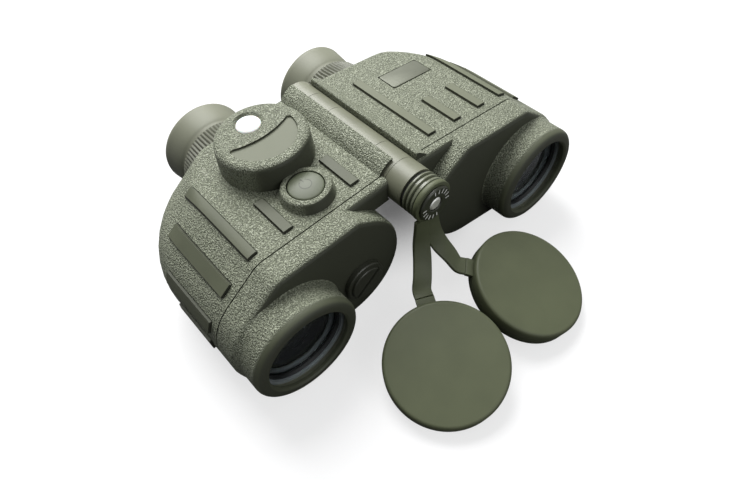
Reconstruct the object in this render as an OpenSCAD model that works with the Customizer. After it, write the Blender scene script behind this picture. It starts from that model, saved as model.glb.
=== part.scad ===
// Roof-like folding pair of porro prism binoculars with a compass drum, a lit reticle and tethered caps.
// Every body shape is drawn in its own body frame: x out from the hinge axis, y from the front rim to
// the eye end, z up from the hinge axis. place() folds a body down about the hinge and stands it up.

/* [Fold] */
// Fold of each body below level, in degrees
fold_deg = 3.6; // [0:0.2:12]

/* [Optical axes] */
// Objective axis, out from the hinge
obj_u = 69.4; // [66:0.2:74]
// Objective axis, below the hinge
obj_drop = 25.6; // [24.6:0.1:27]
// Eyepiece axis, out from the hinge
eye_u = 36.3; // [34:0.1:38]
// Eyepiece axis, below the hinge
eye_drop = 26.6; // [25.6:0.1:27.6]

/* [Body shell] */
// Height of the flat top above the hinge axis
top_w = 5.6; // [5.2:0.1:6.4]
// Centre of the round inner side, out from the hinge
inner_u = 38; // [37:0.1:39]
// Centre of the round inner side, below the hinge
inner_drop = 21.4; // [20.6:0.1:22]
// Radius of the round outer side
side_r = 25.5; // [25.2:0.1:26.2]
// Inner edge of the flat top in front of the hinge, out from the hinge
plate_u = 27.4; // [26:0.2:30]
// Front end of the hinge side plate
plate_y = 20.7; // [20:0.1:21.4]
// Centre of the soft shoulder, out from the hinge
shoulder_u = 66; // [64:0.2:68]
// Radius of the soft shoulder
shoulder_r = 8; // [7.8:0.1:10]
// Front face of the prism housing behind the objective rim
face_y = 13; // [12:0.2:14]
// Seam between the front and the main armour
seam_y = 25.3; // [24:0.1:27]
// Width of the seam
seam_gap = 0.5; // [0.3:0.1:0.8]
// Rear wall of the prism housing
wall_y = 93.5; // [92.5:0.5:96]
// Where the outer side starts to curve in towards the rear
curve_y = 58; // [54:1:62]
// How far the outer side curves in towards the rear
curve_in = 30; // [26:1:34]
// Soft radius of the front face edge
face_round = 2.6; // [2:0.2:2.8]
// Soft radius of the rear edge
rear_round = 4; // [3:0.2:5]
// Thickness of the rubber armour
armour_t = 2; // [1.6:0.1:2.2]
// Wall of the cast prism housing
cast_t = 1.8; // [1.4:0.1:2]
// Height of the grip ribs
rib_h = 1; // [0.6:0.1:1.4]
// Width of the grip ribs on the top
rib_w = 4.3; // [3:0.1:5]
// Rear end of the short grip ribs on the top
short_rib_y = 49.2; // [48.6:0.2:50.4]

/* [Prisms] */
// Front face of the shelf that the prisms stand on
shelf_y = 60.5; // [60:0.5:62]
// Thickness of that shelf
shelf_t = 2; // [1.6:0.2:2.4]

/* [Objectives] */
// Outer radius of the objective end
tube_r = 24; // [23.6:0.1:24.4]
// Soft radius of the objective rim
rim_round = 3.2; // [2:0.2:3.8]
// Radius of the objective opening
opening_r = 18.7; // [18.2:0.1:19.2]
// Depth of the rubber lip over the barrel end
lip_t = 2.2; // [1.6:0.1:2.6]
// Wall of the metal objective barrel
barrel_t = 2; // [1.6:0.1:2.2]
// Depth of the objective glass behind the rim
glass_y = 7; // [6:0.2:9]
// Thickness of the objective glass at its edge
glass_t = 3; // [2:0.2:4]

/* [Eyepieces] */
// Radius of the eyecup rim
cup_rim_r = 21.6; // [21:0.1:22.2]
// Radius of the eyecup neck
cup_neck_r = 19.5; // [19:0.1:19.8]
// Eye end of the eyecup
cup_y = 129.8; // [127:0.2:134]
// Eye end of the knurled focus ring
ring_end_y = 114; // [112:0.5:116]
// Gap between the housing and the focus ring
ring_gap = 2.6; // [2:0.2:3.4]
// Radius of the focus ring at the housing
ring_big_r = 22.8; // [22:0.1:23.2]
// Radius of the focus ring at the eyecup
ring_small_r = 20.7; // [20.5:0.1:21.2]
// Number of grip ridges on the focus ring
knurls = 72; // [48:4:96]
// Outer radius of the fixed eyepiece barrel
eye_barrel_r = 17; // [16.6:0.1:17.2]
// Wall of the fixed eyepiece barrel
eye_barrel_t = 2; // [1.6:0.1:2.2]
// Running clearance of the turning and sliding eyepiece pieces
run_c = 0.05; // [0.03:0.01:0.08]
// Focus travel each way
focus_travel = 2.5; // [1.5:0.5:3]

/* [Hinge] */
// Outer radius of the hinge knuckles
knuckle_r = 9.2; // [9:0.1:9.4]
// Radius of the hinge pin
pin_r = 4; // [3.6:0.1:4.4]
// Air between the knuckles and the pieces that turn round them
hinge_air = 0.3; // [0.25:0.05:0.35]
// Front end of the hinge front sleeve
sleeve_y = 14; // [13.6:0.1:14.6]
// End of the front knuckle
knuckle_a = 23.5; // [23:0.1:24]
// End of the second knuckle
knuckle_b = 36.5; // [34:0.5:39]
// End of the middle knuckle
knuckle_c = 66.5; // [64:0.5:69]
// End of the fourth knuckle
knuckle_d = 80; // [77:0.5:82]
// End of the rear knuckle
knuckle_e = 92; // [91:0.2:92.4]
// Radius of the rubber skin over the hinge on the compass side
skin_r = 10.5; // [10.2:0.1:10.8]
// Inner edge of the rail on the plain side, out from the hinge
rail_u = 7.6; // [7.2:0.1:8]
// Height of that rail
rail_w = 8.7; // [8.2:0.1:9]

/* [Hinge front] */
// Front face of the hinge end disc
disc_y = 3; // [2.6:0.1:3.4]
// Radius of the hinge end disc
disc_r = 7.9; // [7.4:0.1:8]
// Thickness of the hinge end disc
disc_t = 1.3; // [1:0.1:1.5]
// Radius of the ridged collar
collar_r = 9.2; // [8.8:0.1:9.4]
// Thickness of the seal ring behind the collar
seal_t = 1.2; // [1:0.1:1.4]
// Thickness of the strap hub
hub_t = 2.6; // [2:0.1:2.8]

/* [Compass drum] */
// Drum centre, out from the hinge
drum_u = 33.4; // [33:0.1:34]
// Drum centre behind the front rim
drum_y = 67.6; // [67:0.1:68.4]
// Drum top above the hinge axis
drum_w = 17.8; // [17:0.1:19]
// Drum radius at its top
drum_r = 19.6; // [19.2:0.1:20]
// Soft radius of the drum edge
drum_round = 2.6; // [1.6:0.1:3]
// Radius of the dome window
dome_r = 5.3; // [4.8:0.1:5.6]
// Place of the dome behind the drum centre
dome_off = 9; // [8.6:0.1:9.4]
// Outer radius of the smooth crescent on the drum
bean_r = 15; // [14:0.2:15.6]
// Depth of the smooth crescent
bean_d = 0.8; // [0.5:0.1:1]

/* [Power button] */
// Button centre, out from the hinge
btn_u = 34.2; // [33.8:0.1:34.6]
// Button centre behind the front rim
btn_y = 39.2; // [38.8:0.1:39.6]
// Radius of the button
btn_r = 7.3; // [6.8:0.1:7.4]
// Height of the boss round the button above the hinge axis
boss_w = 10.1; // [9.6:0.1:10.6]
// Air round the button
btn_air = 0.4; // [0.35:0.05:0.5]
// Travel of the button
btn_travel = 0.8; // [0.5:0.1:0.9]

/* [Battery] */
// Air between the battery cap and the objective end, seen from the front
bat_air = 3.4; // [3:0.1:4]
// Battery axis, below the hinge
bat_drop = 28; // [27.6:0.1:28.4]
// Radius of the battery
bat_r = 7.8; // [7.4:0.1:7.8]
// Length of the battery
bat_len = 20; // [18:0.5:21]
// Radius of the battery cap
bat_cap_r = 9.5; // [9.2:0.1:9.8]

/* [Caps and strap] */
// Height of an objective cap
cap_h = 8; // [7.4:0.1:8.6]
// Wall of an objective cap
cap_t = 1.2; // [1:0.1:1.4]
// Thickness of the cap strap
strap_t = 1.8; // [1.6:0.1:2.2]
// Width of the cap strap
strap_w = 8; // [7:0.2:9]
// Tilt of the cap on the compass side
cap_tilt_l = 17; // [14:0.5:19]
// Tilt of the cap on the plain side
cap_tilt_r = 20; // [17:0.5:22]

/* [Nameplate] */
// Length of the bare nameplate
plate_l = 24; // [20:0.5:26]
// Width of the bare nameplate
plate_b = 11.6; // [10:0.2:12]
// Thickness of the bare nameplate
plate_t = 0.8; // [0.6:0.1:1]

/* [Hidden] */
$fn = 96;

// Derived sizes
inner_r = top_w + inner_drop;
corner_r = 3.2;
curve_len = (wall_y - curve_y) / sqrt(1 - pow(0.255, 2));
bat_u = obj_u - tube_r - bat_cap_r - bat_air;
rib_y = seam_y + 4.3;
cup_flare_y = ring_end_y + focus_travel;
lift = obj_u * sin(fold_deg) + obj_drop * cos(fold_deg) + side_r;
barrel_r = tube_r - armour_t - 0.2;
cell_r = barrel_r - barrel_t;
front_air_y = sleeve_y - seal_t;
hub_y = disc_y + disc_t;
collar_y = hub_y + hub_t;
spigot_r = 6;
beam_r = knuckle_r + hinge_air;
ring_y = wall_y + ring_gap;
mouth_r = cup_neck_r + 0.4;
ocular_r = eye_barrel_r - eye_barrel_t - run_c;
bezel_y = glass_y - 1.6;
cap_r = tube_r + 0.15 + cap_t;
cap_edge = 1.6;
// Where each cap lies: x and y seen from the hinge, tilt, way it leans and turn of its tab
cap_at_l = [-28.6, -33.9, cap_tilt_l, 223, -160];
cap_at_r = [25.1, -31.7, cap_tilt_r, 296, -166];
cap_lean_y = sin(cap_tilt_l) * sin(cap_at_l[3]);
cap_front_y = cap_at_l[1] - cap_edge * cap_lean_y - cap_r * sqrt(1 - cap_lean_y * cap_lean_y);
mid_y = (cup_y + cap_front_y) / 2;
tab_end = 2.4;
tab_z = -4.2;
rubber = [0.47, 0.49, 0.41];
soft = [0.36, 0.38, 0.30];
paint = [0.45, 0.46, 0.39];
metal = [0.62, 0.63, 0.62];
dark = [0.05, 0.05, 0.05];
glass = [0.35, 0.42, 0.46];
steel = [0.75, 0.75, 0.74];

// Stand a body piece up in the object's frame: s is -1 for the compass side and 1 for the plain side
module place(s) {
  translate([0, -mid_y, lift])
    mirror([s < 0 ? 1 : 0, 0, 0])
      rotate([0, fold_deg, 0])
        children();
}

// Stand a hinge piece up, on the axis that both bodies share
module on_hinge() {
  translate([0, -mid_y, lift])
    children();
}

// Cylinder along y from a to b, at u and w
module ycyl(u, w, r, a, b) {
  translate([u, b, w])
    rotate([90, 0, 0])
      cylinder(r = r, h = b - a);
}

// Ring profile turned about an axis along y: points are [radius, y]
module yturn(u, w, pts) {
  translate([u, 0, w])
    rotate([-90, 0, 0])
      rotate_extrude()
        polygon(pts);
}

// Flat outline in the u w plane, pulled from a to b along y
module ybar(pts, a, b) {
  translate([0, b, 0])
    rotate([90, 0, 0])
      linear_extrude(b - a)
        polygon(pts);
}

// How far the outer side has curved in at y
function drawn_in(y) = y <= curve_y ? 0 :
  curve_in * (1 - sqrt(max(0, 1 - pow((y - curve_y) / curve_len, 2))));

// Circles that the body section is stretched round: inner side, outer side, shoulder and the plate corner
function section_circles(cut) = [
  [inner_u, -inner_drop, inner_r],
  [obj_u - cut, -obj_drop, side_r],
  [shoulder_u - cut, top_w - shoulder_r, shoulder_r],
  [plate_u + corner_r, top_w - corner_r, corner_r]];

// Outermost point of the section in direction t, drawn in by e; n is how many circles count
function tip(cut, e, t, n) =
  let (d = [cos(t), sin(t)],
    c = section_circles(cut),
    far = [for (k = [0 : n - 1]) c[k][0] * d[0] + c[k][1] * d[1] + c[k][2]],
    k = search(max(far), far)[0])
  [c[k][0] + (c[k][2] - e) * d[0], c[k][1] + (c[k][2] - e) * d[1]];

// Section outlines: "plain" for the casting, "corner" for the front rubber, "band" with the hinge side plate
function section(cut, e, kind) =
  let (n = kind == "corner" ? 4 : 3, w = top_w - e, step = 7.5)
  concat([for (t = [0 : step : 82.5]) tip(cut, e, t, n)],
    [[shoulder_u - cut, w]],
    kind == "band" ? [[6, w], [6, 0], [8, -4.5]] :
      [[kind == "corner" ? plate_u + corner_r : inner_u, w]],
    [for (t = [kind == "band" ? 142.5 : 97.5 : step : 352.5]) tip(cut, e, t, n)]);

// End faces of a loft as convex outlines; the band's hinge side plate, points 12 to 16, is one by itself
function ends(n, kind) = kind == "band" ?
  [[12, 13, 14, 15, 16], concat([for (j = [0 : 12]) j], [for (j = [16 : n - 1]) j])] :
  [[for (j = [0 : n - 1]) j]];

// Loft through stations along y; each station is [y, cut, e]
module loft(st, kind) {
  rows = [for (q = st) section(q[1], q[2], kind)];
  n = len(rows[0]);
  m = len(st);
  polyhedron(
    points = [for (i = [0 : m - 1], p = rows[i]) [p[0], st[i][0], p[1]]],
    faces = concat(
      [for (c = ends(n, kind)) [for (j = [len(c) - 1 : -1 : 0]) c[j]]],
      [for (c = ends(n, kind)) [for (j = c) (m - 1) * n + j]],
      [for (i = [0 : m - 2], j = [0 : n - 1])
        [i * n + j, i * n + (j + 1) % n, (i + 1) * n + (j + 1) % n]],
      [for (i = [0 : m - 2], j = [0 : n - 1])
        [i * n + j, (i + 1) * n + (j + 1) % n, (i + 1) * n + j]]),
    convexity = 4);
}

// Stations of the curved outer side and the soft rear edge, e inside the armour surface
function rear_stations(e) =
  let (r = max(1, rear_round - e), b = wall_y - e, turn = asin((b - r - curve_y) / curve_len))
  concat(
    [for (k = [0 : 7]) let (y = curve_y + curve_len * sin(turn * k / 7)) [y, drawn_in(y), e]],
    [for (k = [1 : 4]) let (a = 22.5 * k, y = b - r + r * sin(a)) [y, drawn_in(y), e + r * (1 - cos(a))]]);

// Stations of the soft front edge, from the face
function front_stations(e) =
  let (r = max(1, face_round - e))
  [for (k = [4 : -1 : 0]) let (a = 22.5 * k) [face_y + e + r * (1 - sin(a)), 0, e + r * (1 - cos(a))]];

// Main body form from y a to the rear wall, and the whole of it from the front face
module main_form(e, a, kind) { loft(concat([[a, 0, e]], rear_stations(e)), kind); }
module whole_form(e) { loft(concat(front_stations(e), rear_stations(e)), "plain"); }

// Front body form from the face to y b
module front_form(e, b, kind) { loft(concat(front_stations(e), [[b, 0, e]]), kind); }

// Grip rib blocks on the top, cut later to an even height above the surface; deep is how far they reach down
module top_rib(u, a, b, deep = 1.2) {
  translate([u, a, top_w - deep])
    cube([rib_w, b - a, deep + 6]);
}

// Grip rib blocks at at degrees up the round side, facing ang degrees up from level
module side_rib(at, ang, wide, a, b) {
  translate([obj_u + side_r * cos(at), a, side_r * sin(at) - obj_drop])
    rotate([0, -ang, 0])
      translate([-4, 0, -wide / 2])
        cube([12, b - a, wide]);
}

module side_ribs() {
  side_rib(62.7, 52, 6, rib_y, wall_y - 23.5);
  side_rib(24, 24, 6, rib_y - 0.2, wall_y - 32.2);
  side_rib(0.2, 0, 6, rib_y - 0.2, curve_y - 5.5);
}

// Rear opening for the eyepiece barrel
module eye_hole() {
  ycyl(eye_u, -eye_drop, eye_barrel_r, wall_y - 12, wall_y + 5);
}

// Rubber skin over the hinge on the compass side
module hinge_skin(a, b) {
  intersection() {
    ycyl(0, 0, skin_r, a, b);
    ybar([[1.4, 0], [1.4, 12], [14, 12], [14, 0]], a, b);
  }
}

// Rail beside the hinge on the plain side
module hinge_rail(a, b) {
  ybar([[rail_u, 0], [rail_u, rail_w - 0.4], [rail_u + 0.4, rail_w], [rail_u + 1.2, rail_w],
    [rail_u + 5.8, top_w], [rail_u + 6.4, 0]], a, b);
}

module hinge_space(a, b) {
  ycyl(0, 0, beam_r, a, b);
}

module armour(s) {
  difference() {
    union() {
      main_form(0, seam_y + seam_gap / 2, "band");
      intersection() {
        main_form(-rib_h, seam_y + 1, "band");
        union() {
          children(0);
          side_ribs();
        }
      }
      if (s < 0)
        hinge_skin(seam_y + seam_gap / 2, knuckle_e - 1);
      if (s > 0)
        hinge_rail(seam_y - 3, knuckle_e - 1);
      children(1);
    }
    whole_form(armour_t);
    eye_hole();
    hinge_space(seam_y - 5, wall_y + 5);
    beam(s, seam_y - 6, wall_y + 1, 0);
    children(2);
  }
}

// Cast beam that carries this body's knuckles; e widens it for the armour's pocket
module beam(s, a, b, e) {
  ybar([[beam_r - 2.5, -4.5], [beam_r - 2.5, 2.2], [22, 2.2], [26, -4.5]], a, b);
}

// Drum with a soft edge, drawn to the roof of the housing
module drum_form() {
  b = top_w - armour_t;
  translate([drum_u, drum_y, 0])
    rotate_extrude()
      polygon(concat([[0, b], [drum_r + 0.6, b], [drum_r + 0.5, top_w]],
        [for (t = [0 : 15 : 90]) [drum_r - drum_round + drum_round * cos(t),
          drum_w - drum_round + drum_round * sin(t)]],
        [[0, drum_w]]));
}

module boss_form() {
  b = top_w - armour_t;
  r = btn_r + btn_air + 2.6;
  translate([btn_u, btn_y, 0])
    rotate_extrude()
      polygon(concat([[0, b], [r + 1, b], [r + 1, top_w]],
        [for (t = [0 : 30 : 90]) [r - 1.2 + 1.2 * cos(t), boss_w - 1.2 + 1.2 * sin(t)]],
        [[0, boss_w]]));
}

// Smooth crescent let into the drum top
module bean() {
  translate([drum_u, drum_y, drum_w - bean_d])
    rotate([2, 0, 0])
      linear_extrude(5)
        offset(r = 1.4, $fn = 24)
          offset(delta = -1.4)
            difference() {
              circle(r = bean_r, $fn = 64);
              translate([0, 32])
                circle(r = 34, $fn = 120);
            }
}

module compass_space() {
  translate([drum_u, drum_y, top_w - armour_t - 1])
    cylinder(r = drum_r - armour_t, h = drum_w - top_w - 0.4 + 1);
}

module dome_hole() {
  translate([drum_u, drum_y + dome_off, drum_w - 4])
    cylinder(r = dome_r, h = 8);
  translate([drum_u, drum_y + dome_off, drum_w - 1.2])
    cylinder(r1 = dome_r + 0.2, r2 = dome_r + 1.3, h = 1.21);
}

module button_hole() {
  translate([btn_u, btn_y, top_w - armour_t - 1])
    cylinder(r = btn_r + btn_air, h = 12);
}

module left_armour() {
  color(rubber)
    place(-1)
      armour(-1) {
        union() {
          top_rib(shoulder_u - 0.8, rib_y, wall_y - 18, 14);
          top_rib(shoulder_u - 17.4, rib_y, short_rib_y);
          top_rib(plate_u - 11.4, rib_y, short_rib_y);
        }
        union() {
          drum_form();
          boss_form();
        }
        union() {
          compass_space();
          dome_hole();
          bean();
          button_hole();
        }
      }
}

module right_armour() {
  color(rubber)
    place(1)
      armour(1) {
        union() {
          top_rib(plate_u - 5.4, rib_y + 0.2, wall_y - 15.2);
          top_rib(shoulder_u - 28.6, rib_y, short_rib_y);
          top_rib(shoulder_u - 13.4, rib_y, short_rib_y);
          top_rib(shoulder_u + 0.3, rib_y - 0.4, wall_y - 18.2, 14);
        }
        union() {}
        translate([34.5, 63.8, top_w - plate_t + 0.2])
          cube([plate_l, plate_b, 6]);
      }
}

// Rubber objective end: round rim, opening and lip, with a small slope where it meets the front face
module objective_sleeve() {
  r = rim_round;
  yturn(obj_u, -obj_drop, concat(
    [[opening_r, lip_t], [opening_r, 0.8], [opening_r + 0.8, 0]],
    [for (t = [0 : 15 : 90]) [tube_r - r + r * sin(t), r - r * cos(t)]],
    [[tube_r, face_y - 1], [tube_r + 0.8, face_y + 0.2], [tube_r + 0.8, face_y + 6],
      [barrel_r, face_y + 6], [barrel_r, lip_t]]));
}

// Front end of the hinge side plate, set back in a scoop from the front face
module front_plate() {
  b = seam_y - seam_gap / 2;
  y = plate_y;
  intersection() {
    ybar([[6, top_w], [plate_u + corner_r + 2, top_w], [plate_u + corner_r + 2, -4], [17, -4.5], [8, -4.5], [6, 0]], y - 1, b);
    rotate([90, 0, 90])
      linear_extrude(60)
        polygon([[y, -8], [y, top_w - 2.6], [y + 0.4, top_w - 1.4], [y + 1.4, top_w - 0.4], [y + 2.6, top_w],
          [b + 1, top_w + 0.01], [b + 1, -8]]);
  }
}

module front_armour(s) {
  difference() {
    union() {
      front_form(0, seam_y - seam_gap / 2, "corner");
      front_plate();
      objective_sleeve();
    }
    whole_form(armour_t);
    ycyl(obj_u, -obj_drop, barrel_r, lip_t, seam_y);
    ycyl(obj_u, -obj_drop, opening_r, -1, lip_t + 1);
    hinge_space(0, seam_y + 2);
    beam(s, face_y + 10, seam_y + 1, 0);
    if (s > 0)
      hinge_rail(seam_y - 3, seam_y + 2);
    if (s < 0)
      ycyl(bat_u, -bat_drop, bat_r + 1.6, face_y - 1, face_y + 6);
  }
}

module left_front_armour() {
  color(rubber)
    place(-1)
      front_armour(-1);
}

module right_front_armour() {
  color(rubber)
    place(1)
      front_armour(1);
}

// Knuckle lengths that belong to this side
function own(s) = s < 0 ? [[knuckle_a, knuckle_b], [knuckle_c, knuckle_d]] :
  [[sleeve_y, knuckle_a], [knuckle_b, knuckle_c], [knuckle_d, knuckle_e]];
function others(s) = s > 0 ? [[knuckle_a, knuckle_b], [knuckle_c, knuckle_d]] :
  [[sleeve_y - 1, knuckle_a], [knuckle_b, knuckle_c], [knuckle_d, knuckle_e + 2]];

// Prism housing casting with its barrel, its knuckles and the battery tube
module housing(s) {
  e = armour_t;
  i = armour_t + cast_t;
  difference() {
    union() {
      difference() {
        union() {
          whole_form(e);
          ycyl(obj_u, -obj_drop, barrel_r, lip_t, face_y + 6);
          beam(s, face_y + 10, knuckle_e - 0.4, 0);
        }
        whole_form(i);
        ycyl(obj_u, -obj_drop, cell_r, 0, face_y + 8);
        for (k = others(s))
          ycyl(0, 0, beam_r, k[0] - 0.1, k[1] + 0.1);
        if (s < 0)
          translate([btn_u, btn_y, 0])
            cylinder(r = 2.4 + 0.3, h = top_w);
      }
      for (k = own(s))
        ycyl(0, 0, knuckle_r, k[0] + 0.1, k[1] - 0.1);
      if (s < 0)
        battery_tube();
      if (s < 0)
        board_posts();
    }
    eye_hole();
    ycyl(0, 0, s < 0 ? pin_r + run_c : pin_r, 0, wall_y + 5);
    if (s < 0)
      ycyl(bat_u, -bat_drop, bat_r + 0.2, face_y, face_y + 5.5 + bat_len + 2.2);
  }
}

module battery_tube() {
  ycyl(bat_u, -bat_drop, bat_r + 1.6, face_y, face_y + 5.5 + bat_len + 3.4);
}

module board_posts() {
  for (p = [[btn_u - 3.2, btn_y - 6.2], [btn_u + 11.3, btn_y + 6.3]])
    translate([p[0], p[1], -1])
      cylinder(r = 1.4, h = top_w - armour_t - 1.6 + 1, $fn = 32);
}

module left_housing() {
  color(paint)
    place(-1)
      housing(-1);
}

module right_housing() {
  color(paint)
    place(1)
      housing(1);
}

// Shelf that the two prisms stand on, with a window for each beam
module prism_shelf(s) {
  i = armour_t + cast_t + 0.02;
  difference() {
    loft([for (y = [shelf_y, shelf_y + shelf_t]) [y, drawn_in(y), i]], "plain");
    for (p = beam_centres())
      ycyl(p[0], p[1], 6.5, shelf_y - 0.5, shelf_y + shelf_t + 0.5);
  }
}

// Beam centres at the shelf: objective side, middle and eyepiece side
function beam_mid() = [(obj_u + eye_u) / 2, -(obj_drop + eye_drop) / 2 + 16.5];
function beam_centres() = [[obj_u, -obj_drop], beam_mid(), [eye_u, -eye_drop]];

// Right angle prism with trimmed ends, its long face at y, turned by ang in the u w plane
module prism(c, ang, y, dir) {
  h = 18.3;
  flip = dir > 0 ? 0 : 1;
  translate([c[0], y, c[1]])
    rotate([0, -ang, 0])
      mirror([0, flip, 0])
        translate([0, 0, -7.9])
          linear_extrude(15.8)
            polygon([[-h, 0], [h, 0], [h, 3], [3, h], [-3, h], [-h, 3]]);
}

module rear_prism() {
  m = beam_mid();
  prism([(obj_u + m[0]) / 2, (m[1] - obj_drop) / 2], 135, shelf_y + shelf_t, 1);
}

module front_prism() {
  m = beam_mid();
  prism([(eye_u + m[0]) / 2, (m[1] - eye_drop) / 2], 45, shelf_y, -1);
}

module left_prism_shelf() { color(metal) place(-1) prism_shelf(); }
module right_prism_shelf() { color(metal) place(1) prism_shelf(); }
module left_rear_prism() { color(glass) place(-1) rear_prism(); }
module right_rear_prism() { color(glass) place(1) rear_prism(); }
module left_front_prism() { color(glass) place(-1) front_prism(); }
module right_front_prism() { color(glass) place(1) front_prism(); }

// Objective cell, a black tube with a seat behind the glass
module objective_cell() {
  yturn(obj_u, -obj_drop, [[cell_r - 1.4, bezel_y - 1.2], [cell_r, bezel_y - 1.2],
    [cell_r, glass_y + glass_t + 5], [cell_r - 2.6, glass_y + glass_t + 5],
    [cell_r - 2.6, glass_y + glass_t], [cell_r - 1.4, glass_y + glass_t]]);
}

// Objective glass, bulged at both faces inside a flat edge for its seat
module objective_glass() {
  r = cell_r - 1.4;
  e = r - 1.3;
  b = 1.6;
  yturn(obj_u, -obj_drop, concat(
    [for (t = [0 : 0.125 : 1]) [e * t, glass_y - b * (1 - t * t)]],
    [[r, glass_y], [r, glass_y + glass_t]],
    [for (t = [1 : -0.125 : 0]) [e * t, glass_y + glass_t + b * (1 - t * t)]]));
}

// Retaining ring in front of the objective glass
module objective_ring() {
  r = cell_r - 1.4;
  yturn(obj_u, -obj_drop, [[r - 1.1, glass_y - 0.6], [r - 0.7, bezel_y], [r, bezel_y],
    [r, glass_y], [r - 1.1, glass_y]]);
}

module left_objective_cell() { color(dark) place(-1) objective_cell(); }
module right_objective_cell() { color(dark) place(1) objective_cell(); }
module left_objective_glass() { color(glass) place(-1) objective_glass(); }
module right_objective_glass() { color(glass) place(1) objective_glass(); }
module left_objective_ring() { color(dark) place(-1) objective_ring(); }
module right_objective_ring() { color(dark) place(1) objective_ring(); }

// Fixed eyepiece barrel, screwed into the rear wall
module eye_barrel() {
  yturn(eye_u, -eye_drop, [[eye_barrel_r - eye_barrel_t, wall_y - 7], [eye_barrel_r, wall_y - 7],
    [eye_barrel_r, ring_end_y - 7], [eye_barrel_r - eye_barrel_t, ring_end_y - 7]]);
}

// Knurled focus ring, wide at the housing, hollow at the eyecup
module focus_ring() {
  b = ring_end_y;
  difference() {
    translate([eye_u, ring_y, -eye_drop])
      rotate([-90, 0, 0])
        difference() {
          linear_extrude(b - ring_y, scale = ring_small_r / ring_big_r)
            knurl_outline();
          translate([0, 0, -1])
            cylinder(r = eye_barrel_r + run_c, h = b);
          translate([0, 0, b - ring_y - 6.6])
            cylinder(r = mouth_r, h = 20);
        }
  }
}

module knurl_outline() {
  n = knurls;
  polygon([for (k = [0 : n - 1], h = [0, 1, 2, 3])
    let (a = (k + [0, 0.2, 0.5, 0.7][h]) * 360 / n,
      r = ring_big_r + [-0.5, 0, 0, -0.5][h])
    [r * cos(a), r * sin(a)]]);
}

// Sliding ocular tube that carries the eyecup and the lenses
module ocular_tube() {
  r = ocular_r;
  yturn(eye_u, -eye_drop, [[r - 1.6, wall_y - 2], [r, wall_y - 2], [r, cup_y - 6],
    [r - 3.4, cup_y - 6], [r - 3.4, cup_y - 9.4], [r - 1.6, cup_y - 9.4]]);
}

// Rubber eyecup, widening to the eye end
module eyecup() {
  b = cup_y;
  r = ocular_r;
  a = ring_end_y - 3.4;
  yturn(eye_u, -eye_drop, [[r, a], [cup_neck_r, a], [cup_neck_r, cup_flare_y], [cup_neck_r + 0.5, cup_flare_y + 0.6],
    [cup_rim_r - 0.3, b - 2], [cup_rim_r, b - 0.8], [cup_rim_r - 0.5, b], [cup_rim_r - 1.4, b],
    [cup_rim_r - 2.4, b - 0.8], [r + 1.6, b - 5.4], [r, b - 6]]);
}

// Lens of the eyepiece, bulged by b inside a flat edge
module lens(r, y, t, b) {
  e = r - 2;
  yturn(eye_u, -eye_drop, concat(
    [for (q = [0 : 0.2 : 1]) [e * q, y - b * (1 - q * q)]],
    [[r, y], [r, y + t]],
    [for (q = [1 : -0.2 : 0]) [e * q, y + t + b * (1 - q * q)]]));
}

module eye_glass() { lens(ocular_r - 1.6, cup_y - 13.4, 4, 0.6); }
module field_glass() { lens(ocular_r - 1.6, wall_y + 6, 3, 1.2); }

module left_eye_barrel() { color(metal) place(-1) eye_barrel(); }
module right_eye_barrel() { color(metal) place(1) eye_barrel(); }
module left_focus_ring() { color(rubber) place(-1) focus_ring(); }
module right_focus_ring() { color(rubber) place(1) focus_ring(); }
module left_ocular_tube() { color(dark) place(-1) ocular_tube(); }
module right_ocular_tube() { color(dark) place(1) ocular_tube(); }
module left_eyecup() { color(soft) place(-1) eyecup(); }
module right_eyecup() { color(soft) place(1) eyecup(); }
module left_eye_glass() { color(glass) place(-1) eye_glass(); }
module right_eye_glass() { color(glass) place(1) eye_glass(); }
module left_field_glass() { color(glass) place(-1) field_glass(); }
module right_field_glass() { color(glass) place(1) field_glass(); }

// Glass plate with the ranging scale, held in the fixed barrel of the plain side
module reticle_plate() {
  color(glass)
    place(1)
      ycyl(eye_u, -eye_drop, eye_barrel_r - eye_barrel_t, wall_y - 6.5, wall_y - 5);
}

// Bare nameplate let into the flat top
module nameplate() {
  color([0.55, 0.55, 0.55])
    place(1)
      translate([34.5 + 0.1, 63.8 + 0.1, top_w - plate_t + 0.2])
        cube([plate_l - 0.2, plate_b - 0.2, plate_t]);
}

module compass_dome() {
  h = 1.5;
  color("white")
    place(-1)
      translate([drum_u, drum_y + dome_off, drum_w - armour_t])
        rotate_extrude()
          polygon(concat([[0, 0], [dome_r, 0]],
            [for (t = [0 : 15 : 90]) [dome_r * cos(t), armour_t - 1 + h * sin(t)]]));
}

// Sealed compass bowl, its window, card and pivot, under the drum top
module compass_bowl() {
  b = top_w - armour_t;
  r = drum_r - armour_t - 0.6;
  color("dimgray")
    place(-1)
      translate([drum_u, drum_y, b])
        rotate_extrude()
          polygon([[0, 0], [r, 0], [r, 10], [r - 1.2, 10], [r - 1.2, 1.2], [0, 1.2]]);
}

module compass_window() {
  b = top_w - armour_t;
  color(glass)
    place(-1)
      translate([drum_u, drum_y, b + 8.6])
        cylinder(r = drum_r - armour_t - 1.8, h = 1.4);
}

module compass_card() {
  b = top_w - armour_t;
  color("ivory")
    place(-1)
      translate([drum_u, drum_y, b + 5])
        difference() {
          cylinder(r = drum_r - armour_t - 4, h = 0.8);
          translate([0, 0, -1])
            cylinder(r = 0.5 + run_c, h = 3, $fn = 48);
        }
}

module compass_pivot() {
  b = top_w - armour_t;
  color(steel)
    place(-1)
      translate([drum_u, drum_y, b + 1.2])
        rotate_extrude($fn = 48)
          polygon([[0, 0], [1.4, 0], [1.4, 3.5], [0.5, 3.5], [0.5, 6.2], [0, 6.2]]);
}

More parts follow.
